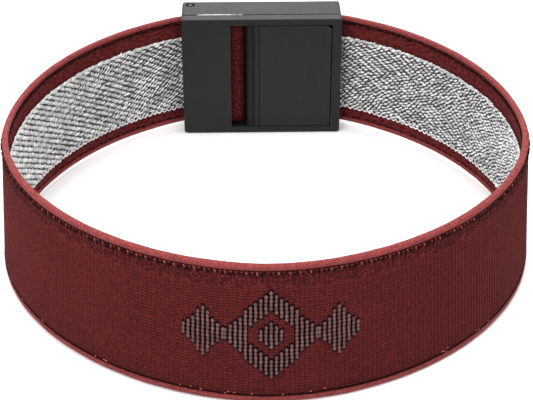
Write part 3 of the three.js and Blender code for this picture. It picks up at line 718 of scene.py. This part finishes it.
def lining_ground():
    """The strip under the silver loops, scalloped along its lower edge."""
    s = np.arange(S_FOLD - 0.6, BAND_LENGTH, 0.3)
    scallop = 0.14 * np.abs(np.sin(math.pi * s / 0.9))
    v = np.stack([LINING_LOW + 0.3 - scallop, np.full_like(s, 7.0), np.full_like(s, 11.0),
                  LINING_HIGH - 0.22 + 0.06 * np.sin(s * 4.1)], 1)
    v = np.concatenate([v, v[:, ::-1]], 1)
    offset = np.repeat([[LINING_FACE] * 4 + [LINING_BACK] * 4], len(s), 0)
    ground = strip("silver_ground", s, v, offset)
    fix_normals(ground.data)
    piece_of(ground, silver_ground, "root", "silver_knit", "conductive_lining")


# The knit's lattice: the step from loop to loop along a row, and from row to row.
LOOP_PITCH = 0.48
LOOP_RISE = 0.28
ROW_SHIFT = -0.16
ROW_PITCH = 0.80
ROW_SLIP = 0.4
LOOP_REACH = 0.72
LOOP_SLANT = math.radians(22)
LOOP_RADIUS = 0.166


def knit_lattice():
    """Places of the silver loops, in slanting rows that each slip by a random share of a step."""
    i, j = np.meshgrid(np.arange(-60, 520), np.arange(-240, 60), indexing="ij")
    slip = rng.uniform(-ROW_SLIP, ROW_SLIP, j.shape[1])[None, :]
    s = ((i + slip) * LOOP_PITCH + j * ROW_SHIFT).ravel()
    v = ((i + slip) * LOOP_RISE + j * ROW_PITCH).ravel()
    on_knit = (v > LINING_LOW + 0.45) & (v < LINING_HIGH - 0.05)
    return s[on_knit], v[on_knit]


def silver_loops(name, lattice, s_from, s_to):
    """The slanted loops of the knit between two places on the band."""
    chosen = (lattice[0] >= s_from) & (lattice[0] < s_to)
    s, v = lattice[0][chosen], lattice[1][chosen]
    n = len(s)
    s = s + rng.normal(0, 0.045, n)
    v = v + rng.normal(0, 0.045, n)
    slant = LOOP_SLANT + rng.normal(0, 0.16, n) + 0.13 * np.sin(s * 0.21 + v * 0.5)
    half = 0.5 * LOOP_REACH * (1 + rng.normal(0, 0.14, n))
    t = np.linspace(-1, 1, 5)[None, :]
    bend = 0.03 * np.cos(0.5 * math.pi * t)
    loop_s = s[:, None] - t * half[:, None] * np.cos(slant)[:, None] - bend * np.sin(slant)[:, None]
    loop_v = v[:, None] + t * half[:, None] * np.sin(slant)[:, None] - bend * np.cos(slant)[:, None]
    radius = LOOP_RADIUS * (1 + rng.normal(0, 0.12, n))
    wide = radius[:, None] * np.array([[0.5, 0.92, 1.0, 0.9, 0.5]])
    lift = LINING_FACE - 0.02 - 0.07 * (1 - t ** 2) + rng.normal(0, 0.012, (n, 1))
    dull = 0.5 + 0.5 * np.sin(s * 0.63 + 2.1 * np.sin(v * 0.8)) * np.sin(v * 1.1 + s * 0.17) > 0.86
    tint = np.clip(0.5 + rng.normal(0, 0.17, n) - 0.16 * dull, 0, 1)
    loops = lay_strands(name, loop_s, loop_v, lift, wide, wide * 0.85, inner=True, tint=tint)
    piece_of(loops, silver, "root", "silver_knit")


SELVEDGE_PITCH = 0.88
SELVEDGE_LENGTH = 1.18
BORDER_PITCH = 0.46
BORDER_LENGTH = 0.5


def silver_selvedge():
    """Leaf-shaped scallops along the lower edge of the knit."""
    start = np.arange(KNIT_FROM, BAND_LENGTH - 1.2, SELVEDGE_PITCH)
    n = len(start)
    start = start + rng.normal(0, 0.03, n)
    t = np.linspace(0, 1, 9)[None, :]
    s = start[:, None] + SELVEDGE_LENGTH * (t + 0.06 * np.sin(2 * math.pi * t))
    dip = (0.56 + rng.normal(0, 0.04, (n, 1))) * np.sin(math.pi * t) ** 0.8
    v = LINING_LOW + 0.72 - dip - 0.16 * t
    wide = 0.13 * np.sin(math.pi * (0.12 + 0.76 * t)) ** 0.5 * np.ones((n, 1))
    tint = 0.55 + rng.normal(0, 0.1, n)
    selvedge = lay_strands("silver_selvedge", s, v, LINING_FACE - 0.04 - 0.05 * t, wide, wide * 0.8,
                           inner=True, tint=tint)
    piece_of(selvedge, silver, "root", "silver_knit")


def silver_border():
    """Short sloping stitches along the upper edge of the knit."""
    start = np.arange(KNIT_FROM, BAND_LENGTH - 0.9, BORDER_PITCH)
    n = len(start)
    start = start + rng.normal(0, 0.05, n)
    t = np.linspace(0, 1, 5)[None, :]
    s = start[:, None] + BORDER_LENGTH * t
    v = LINING_HIGH - 0.1 + rng.normal(0, 0.06, (n, 1)) - 0.26 * t
    wide = 0.15 * np.sin(math.pi * (0.15 + 0.7 * t)) ** 0.5 * np.ones((n, 1))
    tint = 0.45 + rng.normal(0, 0.12, n)
    border = lay_strands("silver_border", s, v, LINING_FACE - 0.02 - 0.04 * t, wide, wide * 0.8,
                         inner=True, tint=tint)
    piece_of(border, silver, "root", "silver_knit")


def ragged(s_from, s_to, length, gap):
    """Starts and ends of a broken line of stitches, drawn from ranges of length and gap."""
    starts, ends, s = [], [], s_from
    while s < s_to:
        run = rng.uniform(*length)
        starts.append(s)
        ends.append(min(s + run, s_to))
        s += run + rng.uniform(*gap)
    return np.array(starts), np.array(ends)


def inner_line(name, level, length, gap, sunk, radius, uneven):
    """A broken black line on the wrist side, beside an edge."""
    start, end = ragged(S_LEFT - 1.5, CORD_TO, length, gap)
    n = len(start)
    v = level + rng.normal(0, 0.07, n)
    run = dashes(start, end, v, -WEB_HALF - sunk, radius + rng.normal(0, uneven, n))
    piece_of(lay_strands(name, *run, inner=True), black_thread, "root", "edge_yarn")


def slanting(run, fall):
    """A run of stitches that sinks by fall from its start to its end."""
    s, v, offset, wide, deep = run
    return s, v - fall * np.linspace(0, 1, s.shape[1])[None, :], offset, wide, deep


def lay_runs(name, runs, finish):
    """Several runs of stitches laid on the outer side as one piece."""
    piece_of(lay_strands(name, *[np.vstack(x) for x in zip(*runs)]), finish, "root", "edge_yarn")


# Stitches under the upper edge: two dark blobs in each SCALLOP, the second a short one.
SCALLOP = 1.22
BLOBS = ((0.0, 0.3, 0.12), (0.64, 0.1, -0.08))
BLOB_RADIUS = 0.28
WHIP_AT = (0.32, 0.93)
WHIP_RADIUS = 0.11
ZIGZAG_SHARES = (0.9, 0.95, 0.9, 0.8, 0.6)
ZIGZAG_ROW = 0.31
ZIGZAG_FALL = 0.24
ZIGZAG_RADIUS = 0.088


def scalloped_stitches(starts):
    """Dark blobs in a scalloped line, each given by its place, length and fall."""
    n = len(starts)
    runs = []
    for at, length, fall in BLOBS:
        start = starts + at + rng.normal(0, 0.05, n)
        end = start + length + rng.normal(0, 0.03, n)
        v = WEB_HIGH - 0.2 + rng.normal(0, 0.06, n)
        radius = BLOB_RADIUS + rng.normal(0, 0.04, n)
        run = dashes(start, end, v, WEB_HALF + 0.06, radius, 5, 0.03, 0.55)
        runs.append(slanting(run, fall + rng.normal(0, 0.04, (n, 1))))
    lay_runs("scalloped_stitches", runs, dark_thread)


def whip_stitches(starts):
    """Short stitches of the edge's own yarn between the blobs."""
    n = len(starts)
    runs = []
    for at in WHIP_AT:
        start = starts + at + rng.normal(0, 0.03, n)
        v = WEB_HIGH - 0.02 + rng.normal(0, 0.03, n)
        radius = WHIP_RADIUS + rng.normal(0, 0.015, n)
        runs.append(dashes(start, start + 0.16, v, WEB_HALF + 0.03, radius, deep=0.6))
    lay_runs("whip_stitches", runs, lip)


def upper_flecks(starts):
    """Pale flecks among the blobs."""
    c = starts[rng.uniform(size=len(starts)) < 0.85] + 0.98
    v = WEB_HIGH + 0.06 + rng.normal(0, 0.04, len(c))
    radius = 0.045 + rng.uniform(0, 0.03, len(c))
    return slanting(dashes(c - 0.08, c + 0.1, v, WEB_HALF + 0.05, radius, deep=0.6), 0.3)


def zigzag_stitches():
    """Rows of smaller stitches under the blobs, thinning out downwards."""
    runs = []
    for row, share in enumerate(ZIGZAG_SHARES):
        start = np.arange(CORD_FROM + (row % 2) * SCALLOP / 6, CORD_TO - SCALLOP, SCALLOP / 3)
        start = start[rng.uniform(size=len(start)) < share]
        n = len(start)
        start = start + rng.normal(0, 0.06, n)
        fall = ZIGZAG_FALL * np.where((np.arange(n) + row) % 2 == 0, 1, -1)[:, None]
        v = WEB_HIGH - 0.5 - ZIGZAG_ROW * row + rng.normal(0, 0.05, n) + 0.5 * fall[:, 0]
        end = start + 0.24 + rng.uniform(0, 0.12, n)
        radius = ZIGZAG_RADIUS + rng.normal(0, 0.013, n)
        runs.append(slanting(dashes(start, end, v, WEB_HALF + 0.02, radius, deep=0.6), fall))
    lay_runs("zigzag_stitches", runs, zigzag_thread)


def outer_lower_line():
    """A thin dark line above the lower edge: black thread laid as painted shade, for the shaded
    crease between the web and the lower edge.
    """
    start = np.arange(CORD_FROM, CORD_TO - 1.2, 1.16)
    n = len(start)
    v = np.full(n, WEB_LOW + 0.1) + rng.normal(0, 0.015, n)
    run = dashes(start, start + 1.12, v, WEB_HALF + 0.01, np.full(n, 0.085), 5)
    piece_of(lay_strands("outer_lower_line", *run), black_thread, "root", "edge_yarn")


def lower_flecks():
    """Pale flecks here and there above the lower edge."""
    c = np.sort(rng.uniform(CORD_FROM, CORD_TO, 58))
    v = WEB_LOW + 0.34 + rng.normal(0, 0.1, len(c))
    radius = 0.07 + rng.uniform(0, 0.05, len(c))
    return dashes(c - 0.1, c + 0.1, v, WEB_HALF + 0.03, radius, deep=0.6)


# The motif at the front: lozenges by their place in wales, half columns, half height and rim.
S_FRONT = path_s[np.argmin(path[:, 1])]
MOTIF = ((0, 9, 5.6, 2.1), (0, 2, 1.3, 0), (-13.5, 4, 2.9, 0), (13.5, 4, 2.9, 0))
MOTIF_V = 9.8
FLOAT_STEP = 0.5
FLOAT_RADIUS = 0.2
BAR_RADIUS = 0.31
BAR_MARGIN = 0.12


def lozenge(at, half_columns, half_height, rim):
    """Floats as (s, v), and the dark bars under them as (s, from v, to v), of a stepped lozenge.
    With a rim it is hollow inside."""
    floats, bars = [], []
    for column in range(-half_columns, half_columns + 1):
        s = at + column * WALE
        reach = half_height * (1 - abs(column) / (half_columns + 1))
        cells = int(round(reach / FLOAT_STEP))
        inner = int(round((reach - rim) / FLOAT_STEP)) if rim else 0
        high = (cells + 0.5) * FLOAT_STEP + BAR_MARGIN
        low = max(inner - 0.5, 0) * FLOAT_STEP - BAR_MARGIN if inner > 1 else 0.0
        spans = [(-high, high)] if low <= 0 else [(-high, -low), (low, high)]
        bars += [(s, MOTIF_V + p, MOTIF_V + q) for p, q in spans]
        floats += [(s, MOTIF_V + i * FLOAT_STEP) for i in range(-cells, cells + 1)
                   if inner <= 1 or abs(i) >= inner]
    return floats, bars


def woven_motif():
    """A chain of stepped lozenges in grey-pink floats on a dark ground."""
    made = [lozenge(S_FRONT + wales * WALE, *sizes) for wales, *sizes in MOTIF]
    floats = np.array([place for floats, _ in made for place in floats])
    bars = np.array([bar for _, bars in made for bar in bars])
    t = np.linspace(-1, 1, 5)[None, :]
    v = floats[:, 1:] + t * 0.42 * FLOAT_STEP
    s = np.broadcast_to(floats[:, :1], v.shape) + 0.02 * np.sin(floats[:, 1:] * 3.1)
    wide = np.broadcast_to(FLOAT_RADIUS * np.array([[0.5, 0.9, 1, 0.9, 0.5]]), v.shape)
    wide = wide * (1 + rng.normal(0, 0.05, (len(floats), 1)))
    tint = np.clip(0.5 + rng.normal(0, 0.09, len(floats)), 0, 1)
    piece_of(lay_strands("motif_floats", s, v, np.full_like(v, WEB_HALF + 0.09), wide, wide * 0.55, 8,
                         tint=tint), motif_yarn, "root", "edge_yarn")
    t = np.linspace(0, 1, 6)[None, :]
    v = bars[:, 1:2] + (bars[:, 2:] - bars[:, 1:2]) * t
    s = np.broadcast_to(bars[:, :1], v.shape)
    wide = np.broadcast_to(BAR_RADIUS * np.array([[0.9, 1, 1, 1, 1, 0.9]]), v.shape)
    piece_of(lay_strands("motif_ground", s, v, np.full_like(v, WEB_HALF), wide,
                         np.full_like(wide, 0.09)), black_thread, "root", "edge_yarn")


SEAM_STEPS = 12
SEAM_PITCH = 1.2
SEAM_SWING = 0.7
KNOT_COLUMNS = np.array([-4.5, -4.16, -3.8, -3.46])
KNOT_PITCH = 0.54


def hem_seam():
    """The zigzag that closes the hem, on its outer side."""
    first = (WEB_LOW + WEB_HIGH - SEAM_STEPS * SEAM_PITCH) / 2
    corners = [(STITCH_X + (SEAM_SWING if i % 2 else -SEAM_SWING), at_depth(STITCH_DEPTH),
                first + SEAM_PITCH * i) for i in range(SEAM_STEPS + 1)]
    piece_of(tube("hem_seam", corners, STITCH_RADIUS, 10, 10), sewing, "root", "sewing_thread",
             "hem_stitching")


def fold_knots():
    """Short bowed stitches of the bobbin thread, scattered over the fold."""
    x, z = np.meshgrid(KNOT_COLUMNS, np.arange(2.1, 16.8, KNOT_PITCH), indexing="ij")
    shown = rng.uniform(size=x.shape) < 0.78
    z = z + rng.uniform(0, KNOT_PITCH, len(KNOT_COLUMNS))[:, None]
    n = shown.sum()
    x = x[shown] + rng.normal(0, 0.06, n)
    z = z[shown] + rng.normal(0, 0.09, n)
    lean = rng.uniform(-1.2, 1.2, n)[:, None]
    t = np.linspace(-1, 1, 4)[None, :]
    bow = rng.choice([-0.06, 0.06], n)[:, None] * (1 - t * t)
    x = x[:, None] + 0.12 * t * np.sin(lean) + bow
    outer = FOLD_RADIUS + WEB_HALF + 0.02
    y = at_depth(FOLD_DEPTH - np.sqrt(outer ** 2 - np.maximum(x - FOLD_X, 0) ** 2))
    centres = np.stack([x, y, z[:, None] + 0.14 * t * np.cos(lean)], -1)
    girth = rng.uniform(0.06, 0.11, n)[:, None] * np.ones((1, 4))
    towards_wrist = np.tile([0.0, -1.0, 0.0], (n, 4, 1))
    verts, faces, uv, _ = strands(centres, girth, girth * 0.7, towards_wrist, 6)
    piece_of(add_mesh("fold_knots", verts, faces, uv), knot_thread, "root", "sewing_thread")


woven_band = woven_web()
rounded_edge("upper_edge", BAND_HIGH - LIP_HEIGHT / 2, "upper_edge_cord")
rounded_edge("lower_edge", BAND_LOW + LIP_HEIGHT / 2, "lower_edge_cord")
lining_ground()
lattice = knit_lattice()
S_HALF = 0.5 * (S_LEFT + S_RIGHT)
silver_loops("silver_loops_left", lattice, KNIT_FROM, S_HALF)
silver_loops("silver_loops_right", lattice, S_HALF, BAND_LENGTH - 0.6)
silver_selvedge()
silver_border()
inner_line("inner_upper_line", WEB_HIGH - 0.14, (0.3, 1.3), (0.08, 0.36), 0.05, 0.18, 0.025)
inner_line("inner_lower_line", WEB_LOW + 0.2, (0.25, 0.8), (0.35, 1.1), 0.01, 0.11, 0.015)
scallop_starts = np.arange(CORD_FROM, CORD_TO - SCALLOP, SCALLOP)
scalloped_stitches(scallop_starts)
whip_stitches(scallop_starts)
high_flecks = upper_flecks(scallop_starts)
zigzag_stitches()
outer_lower_line()
lay_runs("pale_flecks", [high_flecks, lower_flecks()], fleck_thread)
woven_motif()
hem_seam()
fold_knots()

# ---- Clasp ----------------------------------------------------------------------------------------

# Moulded and stamped pieces keep the CAD's shape, with their edges rounded by these radii.
for node, name, rounding, finish, body, slot in (
        ("housing_frame", "clasp_casing", 0.09, plastic, "root", "black_plastic"),
        ("inner_plate", "clasp_plate", 0.08, plastic, "root", "black_plastic"),
        ("locking_flap", "clasp_flap", 0.05, flap_plastic, "flap", "black_plastic"),
        ("outer_lid", "clasp_lid", 0.16, plastic, "lid", "black_plastic"),
        ("contact_leaf", "leaf_spring", 0.05, steel, "lid", "steel")):
    piece_of(bevelled(node, name, rounding), finish, body, slot, node)


def turned_pin(name, end, x, depth, steps, node):
    """A pin along z. end is the profile of its lower end, and the upper end mirrors it."""
    profile = end + [(radius, CLASP_HEIGHT - z) for radius, z in reversed(end)]
    pin = lathe(name, rounded(profile, 0.03), (x, at_depth(depth), 0), "z", steps)
    piece_of(pin, dark_steel, "root", "steel", node)


# A groove runs round the hinge pin just inside each end face.
PIN_END = 0.42
GROOVE_DEPTH = 0.35
turned_pin("hinge_pin", [(0, 0.02), (PIN_END - 0.06, 0.02), (PIN_END, 0.08), (PIN_END, GROOVE_DEPTH),
                         (LID_PIN_RADIUS, GROOVE_DEPTH)], LID_PIN_X, LID_PIN_DEPTH, 48, "lid_pin")
turned_pin("cam_pin", [(0, FLAP_PIN_FROM + 0.02), (FLAP_PIN_RADIUS - 0.1, FLAP_PIN_FROM),
                       (FLAP_PIN_RADIUS, FLAP_PIN_FROM + 0.1)], HUB_X, HUB_DEPTH, 32, "flap_pin")


def hem_wire():
    """The anchor wire: down through the fold, then outwards along a leg to the contact leaf."""
    leg_z = BAND_LOW + LIP_HEIGHT / 2
    t = np.linspace(0, 1, 12)[:, None]
    corner = ((1 - t) ** 2 * (FOLD_DEPTH, leg_z + WIRE_BEND) + 2 * t * (1 - t) * (FOLD_DEPTH, leg_z)
              + t ** 2 * (FOLD_DEPTH + WIRE_BEND, leg_z))
    line = np.vstack([[(FOLD_DEPTH, WIRE_TOP)], corner, [(LEAF_DEPTH - 0.06, leg_z)]])
    line = np.c_[np.full(len(line), FOLD_X), at_depth(line[:, 0]), line[:, 1]]
    wire = tube("hem_wire", line, WIRE_RADIUS, 20, 8)
    fix_normals(wire.data)
    piece_of(wire, steel, "root", "steel", "anchor_wire")


def press_stud():
    """The stud on the lid, a hollow 10 mm bead over a flange, and the rivet through it."""
    base, end = CLASP_DEPTH, CLASP_DEPTH + STUD_RISE
    stud_profile = [
        (0, end - 0.5), (3.4, end - 0.5), (4.5, end - 1.1), (4.0, base + 1.0), (1.46, base + 0.5),
        (1.46, base), (5.75, base), (6.0, base + 0.25), (5.75, base + 0.5), (4.75, base + 0.5),
        (4.5, base + 0.75), (4.5, end - 1.6), (5.0, end - 1.1), (5.0, end - 0.6),
        (4.15, end - 0.125), (3.9, end), (1.2, end), (0, end)]
    rivet_profile = [
        (0, LEAF_DEPTH - 0.35), (2.3, LEAF_DEPTH - 0.35), (2.6, LEAF_DEPTH - 0.1), (2.6, LEAF_DEPTH),
        (1.4, LEAF_DEPTH), (1.4, base + 1.5), (2.2, base + 1.5), (1.4, base + 2.0), (0, base + 2.0)]
    centre = (STUD_X, WRIST_FACE_Y, STUD_Z)
    stud = lathe("press_stud", rounded(stud_profile, 0.35, 6), centre, "y")
    piece_of(stud, nickel, "lid", "stud_nickel", "snap_stud")
    rivet = lathe("stud_stem", rounded(rivet_profile, 0.12), centre, "y", 48)
    piece_of(rivet, steel, "lid", "steel", "stud_rivet")


hem_wire()
press_stud()

# ---- Floor, light and camera ----------------------------------------------------------------------

bpy.ops.mesh.primitive_plane_add(size=6, location=(0, 0, -0.0001))
floor = bpy.context.object
floor.name = "floor"
paper = Finish("white_paper", 0.9, Specular_IOR_Level=0.1)
paper.colour(srgb(252, 252, 252))
floor.data.materials.append(paper.material)

world = bpy.data.worlds.new("studio")
bpy.context.scene.world = world
world.use_nodes = True
background = world.node_tree.nodes["Background"]
background.inputs["Color"].default_value = (1, 1, 1, 1)
background.inputs["Strength"].default_value = 0.85


def softbox(name, place, target, size, power):
    """A round lamp at place that shines on target; metres and watts."""
    light = bpy.data.lights.new(name, "AREA")
    light.shape = "DISK"
    light.size = size
    light.energy = power
    holder = bpy.data.objects.new(name, light)
    bpy.context.scene.collection.objects.link(holder)
    holder.location = place
    holder.rotation_mode = "QUATERNION"
    holder.rotation_quaternion = (Vector(target) - Vector(place)).to_track_quat("-Z", "Y")


softbox("overhead", (0.02, 0.05, 0.55), (0, 0, 0), 0.4, 2.6)
softbox("behind", (0.0, 0.6, 0.36), (0, 0.03, 0.02), 0.4, 2.0)
softbox("front_left", (-0.3, -0.42, 0.5), (0, 0, 0.01), 0.3, 1.6)

# The photograph's camera: where it looks, in mm, and how far off it stands, in metres.
ELEVATION = math.radians(31.19)
AZIMUTH = math.radians(1.097)
LOOK_AT = (0.094, LOOP_Y - 1.04, 7.338)
DISTANCE = 0.183
LENS = 91.15
look_at = Vector(LOOK_AT) * MM
back = Vector((-math.sin(AZIMUTH) * math.cos(ELEVATION), -math.cos(AZIMUTH) * math.cos(ELEVATION),
               math.sin(ELEVATION)))
camera = bpy.data.objects.new("camera", bpy.data.cameras.new("camera"))
bpy.context.scene.collection.objects.link(camera)
camera.data.sensor_width = 36
camera.data.lens = LENS
camera.data.clip_start = 0.01
camera.location = look_at + back * DISTANCE
camera.rotation_mode = "QUATERNION"
camera.rotation_quaternion = (-back).to_track_quat("-Z", "Y")
bpy.context.scene.camera = camera
bpy.context.scene.view_settings.view_transform = "Standard"
